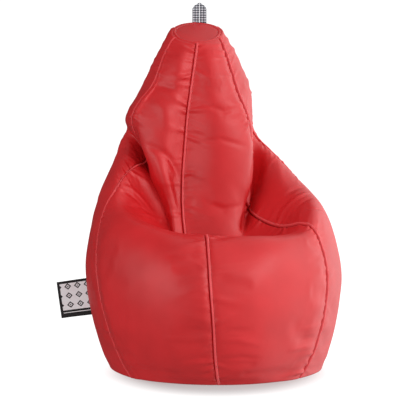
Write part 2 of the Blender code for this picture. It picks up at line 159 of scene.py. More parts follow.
def addStudio():
    # the paper sweep is white to the camera only, so its light doesn't wash over the lower half
    world = bpy.data.worlds.new("studio")
    scene.world = world
    world.use_nodes = True
    tree = world.node_tree
    tree.nodes.clear()
    path = addNode(tree, "ShaderNodeLightPath")
    way = addNode(tree, "ShaderNodeTexCoord").outputs["Generated"]
    toRight = addNode(tree, "ShaderNodeVectorMath", {1: studio["reflectedFrom"]}, {0: way},
                      operation="DOT_PRODUCT")
    walls = addNode(tree, "ShaderNodeMapRange", studio["reflected"], {"Value": toRight.outputs["Value"]})
    upward = addNode(tree, "ShaderNodeVectorMath", {1: (0, 0, 1)}, {0: way}, operation="DOT_PRODUCT")
    room = addNode(tree, "ShaderNodeMapRange", studio["ambient"], {"Value": upward.outputs["Value"]})
    strength = addNode(tree, "ShaderNodeMix", {"Factor": path.outputs["Is Glossy Ray"]},
                       {"A": room.outputs[0], "B": walls.outputs[0]})
    ambient = addNode(tree, "ShaderNodeBackground", {"Color": "#FFFFFF"}, {"Strength": strength.outputs[0]})
    seen = addNode(tree, "ShaderNodeBackground", {"Color": "#FFFFFF", "Strength": studio["sweep"]})
    mixed = addNode(tree, "ShaderNodeMixShader", {0: path.outputs["Is Camera Ray"]},
                    {1: ambient.outputs[0], 2: seen.outputs[0]})
    addNode(tree, "ShaderNodeOutputWorld", links={"Surface": mixed.outputs[0]})
    for softbox in studio["softboxes"]:
        addSoftbox(*softbox)


def addFloor():
    # matt white card that glows by itself: its glow is dimmed close round the chair's foot to paint a soft
    # shadow there, and it is pale further out
    bm = bmesh.new()
    bmesh.ops.create_grid(bm, x_segments=2, y_segments=2, size=studio["floorHalf"])
    paper, tree, shader = newMaterial("matt_paper_floor", Base_Color="#8C8C8C", Roughness=0.9,
                                      Emission_Color="#FFFFFF", Specular_IOR_Level=0.0)
    place = addNode(tree, "ShaderNodeTexCoord").outputs["Object"]
    nearFront = addNode(tree, "ShaderNodeMapping", studio["paintedShadowPlace"], {"Vector": place})
    away = addNode(tree, "ShaderNodeVectorMath", {0: nearFront.outputs[0]}, operation="LENGTH")
    # painted shadow: the floor's emission falls off close round the chair's foot
    glow = addNode(tree, "ShaderNodeMapRange", studio["floorGlowAndPaintedShadow"], {"Value": away.outputs["Value"]},
                   interpolation_type="SMOOTHSTEP")
    tree.links.new(glow.outputs[0], shader.inputs["Emission Strength"])
    floor = finished("floor", bm, paper)
    floor.visible_diffuse = floor.visible_glossy = False


addCamera()
addStudio()
addFloor()
scene.view_settings.view_transform = "Standard"
print("studio ready")

# the skin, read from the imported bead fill

skin = {
    "fillDepth": 3.3 * mm,  # from the cover's outer face to the beads
    "domeRings": 3,  # the rings under the cap, which the cap's own dome stands for
    "frontSeam": 16,  # the net's column that lies under the front seam
    "footLift": 0.5 * mm,
    "fittingPasses": 24,
    "flattest": 0.012,  # rings below this height lie on the base and are put in order by their bearing
}


def mergedCopy(node):
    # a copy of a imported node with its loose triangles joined
    bm = bmesh.new()
    bm.from_mesh(frame["nodes"][node].data)
    bmesh.ops.remove_doubles(bm, verts=bm.verts, dist=0.02 * mm)
    bm.normal_update()
    return bm


def loopInOrder(verts):
    # puts a ring's points in the order in which they follow one another
    left, order = set(verts), []
    here = verts[0]
    while here is not None:
        order.append(here)
        left.discard(here)
        here = next((e.other_vert(here) for e in here.link_edges if e.other_vert(here) in left), None)
    return order


def readLoops(node):
    # walks down the closed form from its pole, ring by ring, so that each column of a ring is joined to the
    # same column of the next
    bm = mergedCopy(node)
    pole = max((v for v in bm.verts if v.co.z > 0.5), key=lambda v: len(v.link_edges))
    ring = loopInOrder([e.other_vert(pole) for e in pole.link_edges])
    count, done, rings = len(ring), {pole}, []
    while ring:
        rings.append(ring)
        done.update(ring)
        below = []
        for v in ring:
            below += [w for w in (e.other_vert(v) for e in v.link_edges) if w not in done and w not in below]
        if len(below) != count:
            break
        following = loopInOrder(below)
        if len(following) < count or below[0].co.z < skin["flattest"]:
            following = sorted(below, key=lambda v: math.atan2(v.co.x, -v.co.y))
        joined = {(e.verts[0], e.verts[1]) for v in ring for e in v.link_edges}
        joined |= {(b, a) for a, b in joined}
        choices = []
        for turned in (following, following[::-1]):
            for shift in range(count):
                tried = turned[shift:] + turned[:shift]
                choices.append((sum((a, b) in joined for a, b in zip(ring, tried)), len(choices), tried))
        ring = max(choices, key=lambda c: (c[0], -c[1]))[2]
    points = np.array([[v.co[:] for v in r] for r in rings])
    normals = np.array([[v.normal[:] for v in r] for r in rings])
    top = np.array(pole.co), np.array(pole.normal)
    bm.free()
    return points, normals, top


def orderedColumns(points, normals):
    # turns the net so that its columns run to the right and the front seam has its own number
    foot = np.degrees(np.arctan2(points[-1, :, 0], -points[-1, :, 1]))
    front = int(np.argmin(np.abs(foot)))
    order = np.arange(len(foot))
    if (foot[(front + 1) % len(foot)] - foot[front]) < 0:
        order, front = order[::-1], len(foot) - 1 - front
    order = np.roll(order, skin["frontSeam"] - front)
    return points[:, order], normals[:, order]


points, normals, pole = readLoops("bead_fill")
points, normals = orderedColumns(points, normals)

# a smooth surface through those points


def withEnds(rows):
    return np.concatenate([2 * rows[:1] - rows[1:2], rows, 2 * rows[-1:] - rows[-2:-1]])


def smoothed(rows):
    # what a cubic spline through these control points gives at its knots
    padded = withEnds(rows)
    down = (padded[:-2] + 4 * padded[1:-1] + padded[2:]) / 6
    return (np.roll(down, 1, 1) + 4 * down + np.roll(down, -1, 1)) / 6


def splineShares(f):
    return np.array([(1 - f) ** 3, 3 * f**3 - 6 * f**2 + 4, -3 * f**3 + 3 * f**2 + 3 * f + 1, f**3]) / 6


class Surface:
    # a cubic spline surface over a net of points that closes round

    def __init__(self, net):
        control = net.copy()
        for _ in range(skin["fittingPasses"]):
            control += net - smoothed(control)
        self.control = withEnds(withEnds(control))
        self.rows, self.columns = net.shape[:2]

    def at(self, rows, columns):
        rows, columns = np.broadcast_arrays(np.asarray(rows, float), np.asarray(columns, float))
        i = np.clip(np.floor(rows).astype(int), 0, self.rows - 2)
        j = np.floor(columns).astype(int)
        down, across = splineShares(rows - i), splineShares(columns - j)
        total = 0
        for a in range(4):
            for b in range(4):
                share = (down[a] * across[b])[..., None]
                total = total + share * self.control[i + 1 + a, (j - 1 + b) % self.columns]
        return total

    def normal(self, rows, columns):
        e = 0.03
        down = self.at(rows + e, columns) - self.at(rows - e, columns)
        across = self.at(rows, columns + e) - self.at(rows, columns - e)
        facing = np.cross(down, across)
        return facing / np.maximum(np.linalg.norm(facing, axis=-1, keepdims=True), 1e-12)


outer = points + normals * skin["fillDepth"]
foot = outer[-1]
spread = points[-1, :, :2]
foot[:, :2] = spread * (1 + skin["fillDepth"] / np.linalg.norm(spread, axis=1))[:, None]
foot[:, 2] = skin["footLift"]
domeTop = pole[0] + pole[1] * skin["fillDepth"]
body = Surface(outer[skin["domeRings"] :])
lastRow = body.rows - 1
print("skin read:", body.rows, "rows,", body.columns, "columns")

# the six gores

gores = {
    "seams": {"front": 16, "right": 25, "rearRight": 29, "rear": 33, "rearLeft": 2, "left": 6},
    "rowSteps": 11,  # cloth rows between two rows of the net
    "clothCell": 4.5 * mm,
    "thickness": 1.2 * mm,
    "valley": (2.4 * mm, 15 * mm),  # the depth and reach of the hollow that each seam lies in
    # how deep the cloth is drawn in right beside each lap, in millimetres
    "groove": {"front": 0.4, "right": 7.0, "rearRight": 1.5, "rear": 0.8, "rearLeft": 1.0, "left": 0.8},
    "grooveWidth": 2.4 * mm,
    # height, seed and length of the broad unevenness
    "waves": [(1.3 * mm, 3, 95 * mm), (0.6 * mm, 4, 45 * mm)],
    "calmTop": 16 * mm,  # the folds die out over this much below the cap
    "calmFoot": 22 * mm,  # and over this much above the foot
    "tuck": (2.2 * mm, 3.5 * mm),  # how deep and how far the gores dip under the cap's lap
}

# each gore's name, its packed panel, the seams on its left and right, and the cut cloth's width, length and
# area between seams
goreNames = [
    ("front_right_gore", "panel_front_right", "front", "right", 0.44, 1.45, 0.43),
    ("side_right_gore", "panel_side_right", "right", "rearRight", 0.44, 1.42, 0.39),
    ("back_right_gore", "panel_back_right", "rearRight", "rear", 0.46, 1.24, 0.40),
    ("back_left_gore", "panel_back_left", "rear", "rearLeft", 0.50, 1.19, 0.40),
    ("side_left_gore", "panel_side_left", "rearLeft", "left", 0.42, 1.19, 0.33),
    ("front_left_gore", "panel_front_left", "left", "front", 0.44, 1.34, 0.43),
]

relaxing = {
    "steps": 3,  # simulated points between two points of the net
    "frames": 20,
    "pressure": 4.0,
    "gather": 0.07,  # how much shorter the thread pulls the cloth along a seam
    "furthest": 8 * mm,  # no point moves more than this
    "rows": [0, 2, 6, 10, 20, 23, 26],
    "share": [0, 0.15, 0.35, 0.6, 0.6, 0.45, 0.1],  # how much of the move counts at each of those rows
    "swellKept": 0.3,  # most of the broad swelling is taken out again, so that the chair keeps its size
    "broadPasses": 14,
    "stiffness": {"tension": 18, "compression": 18, "shear": 6, "bending": 0.4},
}


def broadPart(shift):
    # what is left of the cloth's moves once everything narrow is smoothed away
    for _ in range(relaxing["broadPasses"]):
        padded = np.concatenate([shift[:1], shift, shift[-1:]])
        shift = (padded[:-2] + 2 * shift + padded[2:]) / 4
        shift = (np.roll(shift, 1, 1) + 2 * shift + np.roll(shift, -1, 1)) / 4
    return shift


def relaxedCloth():
    # blows the whole closed cover up with its seams gathered, and returns the small part of it that is kept
    steps = relaxing["steps"]
    rowCount, columnCount = lastRow * steps + 1, body.columns * steps
    rows = np.linspace(0, lastRow, rowCount)[:, None]
    columns = np.linspace(0, body.columns, columnCount + 1)[None]
    start = body.at(rows, columns)
    bm = bmesh.new()
    bmesh.ops.create_grid(bm, x_segments=columnCount, y_segments=rowCount - 1, size=1)
    place = bm.verts.layers.int.new("place")
    for v in bm.verts:
        i, j = round((1 - v.co.y) / 2 * (rowCount - 1)), round((v.co.x + 1) / 2 * columnCount)
        v[place] = i * columnCount + j % columnCount
        v.co = start[i, j]
    bmesh.ops.remove_doubles(bm, verts=bm.verts, dist=0.01 * mm)
    bmesh.ops.holes_fill(bm, edges=[e for e in bm.edges if e.is_boundary], sides=0)
    bmesh.ops.recalc_face_normals(bm, faces=bm.faces)
    cover = finished("relaxing_cover", bm, red)
    order = np.zeros(len(cover.data.vertices), int)
    cover.data.attributes["place"].data.foreach_get("value", order)
    held = cover.vertex_groups.new(name="held")
    gathered = cover.vertex_groups.new(name="gathered")
    seams = [column * steps for column in gores["seams"].values()]
    for vertex, spot in enumerate(order):
        i, j = divmod(int(spot), columnCount)
        held.add([vertex], 1.0 if i in (0, rowCount - 1) else 0.0, "REPLACE")
        gathered.add([vertex], 1.0 if j in seams else 0.0, "REPLACE")
    cloth = cover.modifiers.new("relax", "CLOTH")
    settings = cloth.settings
    settings.quality = 6
    settings.mass = 0.3
    for way, stiffness in relaxing["stiffness"].items():
        setattr(settings, way + "_stiffness", stiffness)
    settings.use_pressure = True
    settings.uniform_pressure_force = relaxing["pressure"]
    settings.effector_weights.gravity = 0
    settings.vertex_group_mass = "held"
    settings.pin_stiffness = 1
    settings.vertex_group_shrink = "gathered"
    settings.shrink_min = 0
    settings.shrink_max = relaxing["gather"]
    cloth.collision_settings.use_collision = False
    cloth.point_cache.frame_end = relaxing["frames"]
    for number in range(1, relaxing["frames"] + 1):
        scene.frame_set(number)
    moved = cover.evaluated_get(bpy.context.evaluated_depsgraph_get()).data
    co = np.zeros(len(order) * 3)
    moved.vertices.foreach_get("co", co)
    shift = np.zeros((rowCount * columnCount, 3))
    shift[order] = co.reshape(-1, 3)
    shift = shift.reshape(rowCount, columnCount, 3) - start[:, :-1]
    bpy.data.objects.remove(cover)
    scene.frame_set(1)
    raw = np.linalg.norm(shift, axis=-1)
    shift = shift - (1 - relaxing["swellKept"]) * broadPart(shift)
    far = np.linalg.norm(shift, axis=-1, keepdims=True)
    shift = shift * relaxing["furthest"] * np.tanh(far / relaxing["furthest"]) / np.maximum(far, 1e-9)
    ease = np.interp(np.arange(rowCount) / steps, relaxing["rows"], relaxing["share"])
    shift = shift * ease[:, None, None]
    kept = np.linalg.norm(shift, axis=-1)
    print("cloth relaxed: it moved", round(raw.mean() / mm, 1), "mm on average, of which",
          round(kept.mean() / mm, 1), "kept, at most", round(kept.max() / mm, 1))
    return Surface(shift)


def leatherette():
    # PVC leatherette, calendered with a fine grain: a soft satin sheen, a nearly even red, and a painted
    # highlight, a paler red along each lap's crown
    made, tree, shader = newMaterial("satin_leatherette", Specular_IOR_Level=0.42, Coat_Weight=0.04,
                                     Coat_Roughness=0.3)
    place = addNode(tree, "ShaderNodeTexCoord").outputs["Object"]
    lapHighlight = addNode(tree, "ShaderNodeAttribute", attribute_name="lapHighlight").outputs["Fac"]
    # the dye's patches are about 150 mm across
    cloud = addNode(tree, "ShaderNodeTexNoise", {"Scale": 7, "Detail": 3}, {"Vector": place})
    base = addNode(tree, "ShaderNodeValToRGB", {"Fac": cloud.outputs["Fac"]},
                   stops=[(0.3, "#B61116"), (0.5, "#BF1318"), (0.7, "#C7161C")]).outputs["Color"]
    # painted highlight: each lap's crown is mixed towards a paler red
    highlighted = addNode(tree, "ShaderNodeMix", {"B": "#DC4A4E"}, {"Factor": lapHighlight, "A": base}, data_type="RGBA")
    # the grain's pebbles are about 0.8 mm across; they are drawn 1.6 mm across so that they can be seen
    pebbles = addNode(tree, "ShaderNodeTexVoronoi", {"Scale": 620, "Randomness": 1}, {"Vector": place})
    creases = addNode(tree, "ShaderNodeTexNoise", {"Scale": 160, "Detail": 4}, {"Vector": place})
    dull = addNode(tree, "ShaderNodeMapRange", {"To Min": 0.40, "To Max": 0.54},
                   {"Value": creases.outputs["Fac"]})
    fine = addNode(tree, "ShaderNodeBump", {"Strength": 0.22, "Distance": 0.12 * mm},
                   {"Height": pebbles.outputs["Distance"]})
    soft = addNode(tree, "ShaderNodeBump", {"Strength": 0.25, "Distance": 0.5 * mm},
                   {"Height": creases.outputs["Fac"], "Normal": fine.outputs["Normal"]})
    for socket, source in (("Base Color", highlighted.outputs[2]), ("Roughness", dull.outputs["Result"]),
                           ("Normal", soft.outputs["Normal"])):
        tree.links.new(source, shader.inputs[socket])
    return made


red = leatherette()
swelling = relaxedCloth()

# the lap: how high its cloth lies above the skin at each distance from the seam, both in millimetres
lapProfile = [(0, -2.4), (0.2, 0.2), (0.5, 1.9), (1.0, 3.1), (2.0, 3.9), (3.6, 4.2), (5.2, 4.0), (6.6, 3.2),
              (7.8, 1.9), (8.6, 0.7), (9.2, 0.5), (10.2, 0.7), (12.5, 0.6), (16, 0.4), (22, 0.1), (30, 0)]
# and how high the neighbour's cloth lies beneath it
underProfile = [(0, -2.2), (0.8, -2.1), (2.0, -1.5), (4.0, -0.6), (7.0, 0.0), (12, 0.1), (20, 0)]
# the cloth's columns beside its two seams, in millimetres from each
startSteps = [0, 0.12, 0.28, 0.5, 0.8, 1.2, 1.8, 2.8, 4.2, 5.8, 7.0, 7.8, 8.3, 8.7, 9.2, 10.0, 11.5, 14, 18]
endSteps = [0, 0.6, 1.3, 2.2, 3.6, 5.5, 8.5, 12.5]


def profileAt(profile, distance):
    # reads a table of millimetres at distances in metres
    xs, ys = zip(*profile)
    return np.interp(distance / mm, xs, ys) * mm


def cloudNoise(points, seed, wave):
    # a smooth wandering number over space, between about -1 and 1
    numbers = np.random.default_rng(seed).uniform(-1, 1, (32, 32, 32))
    t = points / wave + 64
    i = np.floor(t).astype(int)
    f = t - i
    f = f * f * (3 - 2 * f)
    total = 0
    for corner in range(8):
        pick = [(corner >> k) & 1 for k in range(3)]
        share = np.prod([f[..., k] if pick[k] else 1 - f[..., k] for k in range(3)], axis=0)
        total = total + share * numbers[tuple((i[..., k] + pick[k]) % 32 for k in range(3))]
    return total


def goreColumns(first, last, rowsAt):
    # the column numbers at each row, at fixed distances from both seams and even steps between
    dense = np.linspace(first, last, 24 * int(last - first) + 1)
    line = body.at(rowsAt[:, None], dense[None])
    gaps = np.linalg.norm(np.diff(line, axis=1), axis=2)
    along = np.concatenate([np.zeros((len(rowsAt), 1)), np.cumsum(gaps, 1)], 1)
    widest = along[:, -1].max()
    middle = max(6, int(widest / gores["clothCell"]))
    columns, fromStart, fromEnd = [], [], []
    for row in range(len(rowsAt)):
        width = along[row, -1]
        squeeze = min(1, width / (70 * mm))  # near the cap the gore is narrower than its two laps
        start = np.array(startSteps) * mm * squeeze
        end = width - np.array(endSteps[::-1]) * mm * squeeze
        steps = np.concatenate([start, np.linspace(start[-1], end[0], middle + 2)[1:-1], end])
        columns.append(np.interp(steps, along[row], dense))
        fromStart.append(steps)
        fromEnd.append(width - steps)
    return np.array(columns), np.array(fromStart), np.array(fromEnd)


def seamLengths(column, rowsAt):
    # how far down a column each row lies
    line = body.at(rowsAt, np.full(len(rowsAt), float(column)))
    return np.concatenate([[0], np.cumsum(np.linalg.norm(np.diff(line, axis=0), axis=1))])


puckers = {
    "spacing": 20 * mm,
    "height": 4.4 * mm,
    "halfWidth": (3.5 * mm, 8.5 * mm),
    "reach": (18 * mm, 75 * mm),
}


def puckerField(along, distance, seed):
    # small folds that start at the stitching and die away from it
    chance = np.random.default_rng(seed)
    longest = along.max()
    total = np.zeros_like(distance)
    count = int(longest / puckers["spacing"])
    for k in range(count):
        place = (k + chance.uniform(0.1, 0.9)) * longest / count
        width = chance.uniform(*puckers["halfWidth"])
        reach = chance.uniform(*puckers["reach"])
        height = puckers["height"] * chance.uniform(0.1, 1.3) ** 1.5
        height *= (width / puckers["halfWidth"][1]) ** 1.5
        lean = chance.uniform(-0.5, 0.5)
        t = (along - place - lean * distance) / (width * (1 + distance / (60 * mm)))
        total += height * (1 - 1.4 * t * t) * np.exp(-t * t) * np.exp(-((distance / reach) ** 2))
    return total


def onSkin(places):
    # a line over the skin through places given as (column, row) of the net
    columns, rows = np.array(places, float).T
    knots = np.arange(len(rows))
    fine = np.linspace(0, len(rows) - 1, 6 * (len(rows) - 1) + 1)
    return body.at(np.interp(fine, knots, rows), np.interp(fine, knots, columns))


def foldField(points, path, height, width):
    # a ridge, or with a negative height a crease, along a line of points; sizes in millimetres
    if np.linalg.norm(points.reshape(-1, 3)[::7] - path[len(path) // 2], axis=1).min() > 0.4:
        return 0
    nearest = np.full(points.shape[:-1], 1e9)
    fade = np.ones(points.shape[:-1])
    lengths = np.concatenate([[0], np.cumsum(np.linalg.norm(np.diff(path, axis=0), axis=1))])
    for k, (a, b) in enumerate(zip(path, path[1:])):
        t = np.clip(((points - a) @ (b - a)) / ((b - a) @ (b - a)), 0, 1)
        gap = np.linalg.norm(points - (a + t[..., None] * (b - a)), axis=-1)
        place = (lengths[k] + t * (lengths[k + 1] - lengths[k])) / lengths[-1]
        closer = gap < nearest
        nearest = np.where(closer, gap, nearest)
        fade = np.where(closer, np.sin(np.pi * np.clip(0.06 + 0.88 * place, 0, 1)) ** 0.8, fade)
    return height * mm * fade * np.exp(-((nearest / (width * mm)) ** 2))


# each fold: its line over the net as (column, row), then its height and half-width in millimetres
folds = [
    # the slit between the back and the right arm, with the back's edge rolled over it
    ([(27.4, 9.2), (26.8, 9.8), (26.2, 10.3), (25.9, 10.9), (25.5, 11.5), (25.0, 12.1), (24.2, 12.4),
      (22.9, 12.5)], -6, 9),
    ([(28.6, 8.6), (27.4, 9.4), (26.6, 10.2), (26.0, 11.0), (25.5, 11.7), (24.6, 12.2), (23.2, 12.4)],
     -26, 24),
    ([(24.5, 8.4), (23.5, 9.1), (22.9, 9.7), (22.5, 10.4), (22.1, 11.1), (21.8, 11.7)], 7, 15),
    ([(27.4, 10.9), (26.8, 11.3), (26.3, 11.8), (25.9, 12.4)], -5, 14),
    # the left arm's inner face swells up to the back's left edge
    ([(6.4, 13.0), (7.7, 13.1), (8.9, 13.0), (10.0, 12.7), (11.4, 12.2)], 34, 36),
    ([(6.7, 15.7), (7.8, 15.0), (8.5, 14.6), (9.1, 14.3), (9.5, 14.0)], 3.5, 7),
    ([(6.9, 16.3), (7.9, 15.6), (8.6, 15.2), (9.2, 14.9)], -3, 8),
    ([(9.4, 16.1), (9.5, 14.7), (9.8, 13.7), (11.0, 12.6)], 3.5, 7),
    ([(8.9, 16.6), (9.0, 15.4), (9.4, 14.4)], -3, 8),
    # dents and ridges of the back
    ([(10.6, 7.4), (12.2, 7.6), (13.8, 8.0), (15.8, 9.0)], -8, 11),
    ([(11.6, 8.0), (12.5, 8.7), (13.9, 9.9), (15.3, 11.2)], 7, 14),
    ([(8.6, 3.9), (10.6, 3.8), (12.7, 4.0)], -4.5, 11),
    ([(10.2, 4.7), (12.0, 5.3), (13.0, 6.3)], 5, 20),
    ([(18.5, 10.2), (20.0, 10.6), (21.4, 10.5)], -4, 10),
    ([(18.0, 5.0), (20.3, 5.5), (22.5, 5.2)], -3, 8),
    ([(17.4, 7.2), (19.6, 7.0), (22.0, 7.4)], -3, 7),
    # the right arm's pinch
    ([(27.2, 16.7), (26.7, 16.3), (26.2, 15.8), (25.7, 15.4)], 6, 8),
    ([(27.5, 15.9), (27.0, 15.5), (26.4, 15.1)], -4, 10),
    ([(26.9, 17.4), (26.4, 16.8), (25.9, 16.3)], -4, 9),
    ([(26.7, 18.9), (26.2, 18.2), (26.0, 17.5)], -3.5, 4),
    # short wrinkles drawn out of the front seam
    ([(15.9, 19.9), (15.2, 19.9), (14.2, 20.1), (13.4, 20.3)], -4, 7),
    ([(15.8, 20.3), (14.6, 20.4), (13.6, 20.7)], 2.5, 6),
    ([(15.9, 21.2), (15.1, 21.2), (14.2, 21.4)], -3.5, 5),
    ([(16.0, 23.0), (15.2, 22.95), (14.2, 23.0)], -3.5, 5),
    ([(15.9, 23.25), (14.6, 23.3), (13.0, 23.3)], 3, 6),
    ([(15.9, 24.1), (14.8, 24.1), (13.8, 24.2)], -3, 6),
    ([(16.4, 23.0), (17.2, 22.95), (18.2, 23.0)], -3.5, 5),
    ([(16.4, 23.3), (17.5, 23.3), (18.8, 23.5)], 3, 6),
    ([(16.5, 24.1), (17.6, 24.0), (18.8, 24.1)], -3, 6),
    # and out of the right seam
    ([(24.6, 20.7), (23.4, 20.8), (22.4, 20.9)], -3.5, 6),
    ([(24.6, 21.2), (23.2, 21.3)], 3, 6),
    ([(24.6, 23.2), (22.6, 23.2), (21.6, 23.2)], 3.5, 5),
    ([(24.6, 23.6), (22.6, 23.6), (21.2, 23.5)], -4, 5),
    ([(24.6, 24.0), (22.6, 23.9), (20.9, 23.9)], 4.5, 6),
    # the left shoulder, under the back's corner
    ([(3.0, 8.6), (3.3, 9.6), (3.5, 10.8), (3.8, 12.0)], 15, 30),
]
foldLines = [(onSkin(places), *sizes) for places, *sizes in folds]

# where one stretch of cloth rolls over its neighbour: the line over the net, how the near side moves and how
# wide that side is, then how the far side sinks and how wide that is, all in millimetres
overlaps = [
    ([(28.0, 9.0), (27.0, 9.4), (26.4, 9.8), (26.0, 10.4), (25.7, 11.0), (25.5, 11.5), (25.2, 11.9),
      (24.5, 12.1), (24.0, 12.4), (22.9, 12.6)], (13, -8, 0), 28, (4, 12, 0), 15),
]
overlapLines = [(onSkin(places), np.array(over) * mm, wide * mm, np.array(under) * mm, narrow * mm)
                for places, over, wide, under, narrow in overlaps]


def overlapShift(points, facing, path, over, wide, under, narrow):
    # how far each point of the cloth moves where it rolls over that line or is tucked in under it
    nearest = np.full(points.shape[:-1], 1e9)
    signed, fade = np.zeros(nearest.shape), np.zeros(nearest.shape)
    for k, (a, b) in enumerate(zip(path, path[1:])):
        t = np.clip(((points - a) @ (b - a)) / ((b - a) @ (b - a)), 0, 1)
        aside = points - (a + t[..., None] * (b - a))
        gap = np.linalg.norm(aside, axis=-1)
        side = np.sign((np.cross(np.broadcast_to(b - a, aside.shape), aside) * facing).sum(-1))
        closer = gap < nearest
        nearest = np.where(closer, gap, nearest)
        signed = np.where(closer, gap * side, signed)
        share = np.clip((k + t) / (len(path) - 1) * 0.9 + 0.05, 0, 1)
        fade = np.where(closer, np.sin(np.pi * share) ** 0.6, fade)
    turn = (np.tanh(signed / (2.0 * mm)) + 1) / 2
    rolled = (1 - turn) * fade * np.exp(-((np.minimum(signed, 0) / wide) ** 2)) * (nearest < 3 * wide)
    sunk = turn * fade * np.exp(-((np.maximum(signed, 0) / narrow) ** 2)) * (nearest < 3 * wide)
    return rolled[..., None] * over + sunk[..., None] * under


# how far out the cap's seam lies at each column, as a share of the ring where the sides turn down
capEdgeShare = [(-2, 0.84), (2, 0.85), (6, 0.86), (11, 0.92), (16, 0.975), (20, 0.97), (25, 0.93), (29, 0.88),
                (33, 0.84), (37, 0.85), (41, 0.86)]
cap = {
    "domeHeight": 11 * mm,
    "columnSteps": 6,
    "shoulderRows": 6,
    "shoulderPasses": 5,
    "flat": (0.18, 0.16),
    "area": 0.022,
}
capRing = body.at(np.zeros(body.columns), np.arange(body.columns))
capMiddle = capRing.mean(0)
capUp = (domeTop - capMiddle) / np.linalg.norm(domeTop - capMiddle)


def capShare(columns):
    return np.interp(columns, *zip(*capEdgeShare))


def domePoint(columns, share):
    # a point on the cap's low dome, from its middle (0) to the ring (1)
    edge = body.at(np.zeros_like(columns), columns)
    height = cap["domeHeight"] * (1 - share**2)
    return capMiddle + (edge - capMiddle) * share[..., None] + capUp * height[..., None]


def withShoulder(points, columns):
    # carries the gore's top over the ring to the cap's seam and rounds the turn
    top = columns[0]
    shares = np.linspace(capShare(top), 1, cap["shoulderRows"] + 1)[:-1]
    over = np.array([domePoint(top, share) for share in shares])
    points = np.concatenate([over, points])
    last = cap["shoulderRows"] + 4
    for _ in range(cap["shoulderPasses"]):
        points[1:last] = (points[1:last] * 2 + points[0 : last - 1] + points[2 : last + 1]) / 4
    return points


def goreShape(start, end, first, last, seed):
    # one gore between two seams, from the cap to the foot: its points, how far each lies from both seams and
    # down its first seam, and how strong its painted lap highlight is
    steps = gores["rowSteps"]
    rowsAt = np.linspace(0, lastRow, lastRow * steps + 1)
    columns, fromStart, fromEnd = goreColumns(first, last, rowsAt)
    rows = np.broadcast_to(rowsAt[:, None], columns.shape)
    points = body.at(rows, columns)
    if swelling is not None:
        points = points + swelling.at(rows * relaxing["steps"], columns * relaxing["steps"])
    facing = body.normal(np.clip(rows, 0.04, lastRow - 0.04), columns)
    points = withShoulder(points, columns)
    extra = cap["shoulderRows"]
    facing = np.concatenate([np.repeat(facing[:1], extra, 0), facing])
    for k in range(extra):
        mix = (extra - k) / extra
        facing[k] = facing[k] * (1 - mix) + capUp * mix
    facing /= np.linalg.norm(facing, axis=-1, keepdims=True)
    fromStart, fromEnd = (np.concatenate([np.repeat(a[:1], extra, 0), a]) for a in (fromStart, fromEnd))
    columns = np.concatenate([np.repeat(columns[:1], extra, 0), columns])
    gaps = np.linalg.norm(np.diff(points[: extra + 1], axis=0), axis=2).mean(1)
    topLines = np.concatenate([[0], np.cumsum(gaps)])

    def lengthsDown(column):
        return np.concatenate([topLines[:-1], topLines[-1] + seamLengths(column, rowsAt)])

    alongStart = np.broadcast_to(lengthsDown(first)[:, None], columns.shape)
    alongEnd = np.broadcast_to(lengthsDown(last)[:, None], columns.shape)
    fromTop = np.broadcast_to(np.minimum(lengthsDown(first), lengthsDown(last))[:, None], columns.shape)
    fromFoot = fromTop.max() - fromTop
    lift = profileAt(lapProfile, fromStart) + profileAt(underProfile, fromEnd)
    depth, reach = gores["valley"]
    lift -= depth * (np.exp(-fromStart / reach) + np.exp(-fromEnd / reach))
    for side, distance in ((start, fromStart), (end, fromEnd)):
        lift -= gores["groove"][side] * mm * np.exp(-((distance / gores["grooveWidth"]) ** 2))
    lift += puckerField(alongStart, fromStart, seed) * np.clip(fromStart / (9 * mm), 0.25, 1)
    lift += puckerField(alongEnd, fromEnd, seed + 50) * np.clip(fromEnd / (3 * mm), 0.25, 1)
    lift += sum(height * cloudNoise(points, cloud, wave) for height, cloud, wave in gores["waves"])
    for line in foldLines:
        lift += foldField(points, *line)
    ends = np.clip(fromTop / gores["calmTop"], 0, 1) * np.clip(fromFoot / gores["calmFoot"], 0, 1)
    lift = lift * (0.25 + 0.75 * ends)
    depth, reach = gores["tuck"]
    lift -= depth * np.exp(-fromTop / reach)
    shift = sum(overlapShift(points, facing, *line) for line in overlapLines)
    points = points + facing * lift[..., None] + shift
    points[..., 2] = np.maximum(points[..., 2], 0.6 * mm)  # nothing sinks into the floor
    # only the lap's crown gets the painted highlight
    lapHighlight = np.clip((profileAt(lapProfile, fromStart) - 2.2 * mm) / (2.0 * mm), 0, 1)
    return points, fromStart, fromEnd, alongStart, lapHighlight


def gridPiece(name, points, material, across, down, shade=None):
    # a grid whose columns run to the right and whose rows run down, seen from outside; across and down are
    # its UV map in metres, and shade says how strong the painted lap highlight is
    rowCount, columnCount = points.shape[:2]
    bm = bmesh.new()
    bmesh.ops.create_grid(bm, x_segments=columnCount - 1, y_segments=rowCount - 1, size=1)
    uv = bm.loops.layers.uv.new("cloth")
    layer = bm.verts.layers.float.new("lapHighlight")
    place = {}
    for v in bm.verts:
        i = round((1 - v.co.y) / 2 * (rowCount - 1))
        j = round((v.co.x + 1) / 2 * (columnCount - 1))
        place[v] = (i, j)
    for v, (i, j) in place.items():
        v.co = points[i, j]
        v[layer] = 0 if shade is None else shade[i, j]
    for face in bm.faces:
        for corner in face.loops:
            i, j = place[corner.vert]
            corner[uv].uv = (across[i, j], down[i, j])
    return finished(name, bm, material)


def weld(piece, distance, capped=False):
    # joins a closed form where its edges meet, and with capped fills its open ends
    bm = bmesh.new()
    bm.from_mesh(piece.data)
    bmesh.ops.remove_doubles(bm, verts=bm.verts, dist=distance)
    if capped:
        bmesh.ops.holes_fill(bm, edges=[e for e in bm.edges if e.is_boundary], sides=0)
        bmesh.ops.recalc_face_normals(bm, faces=bm.faces)
    bm.to_mesh(piece.data)
    bm.free()
    piece.data.shade_smooth()


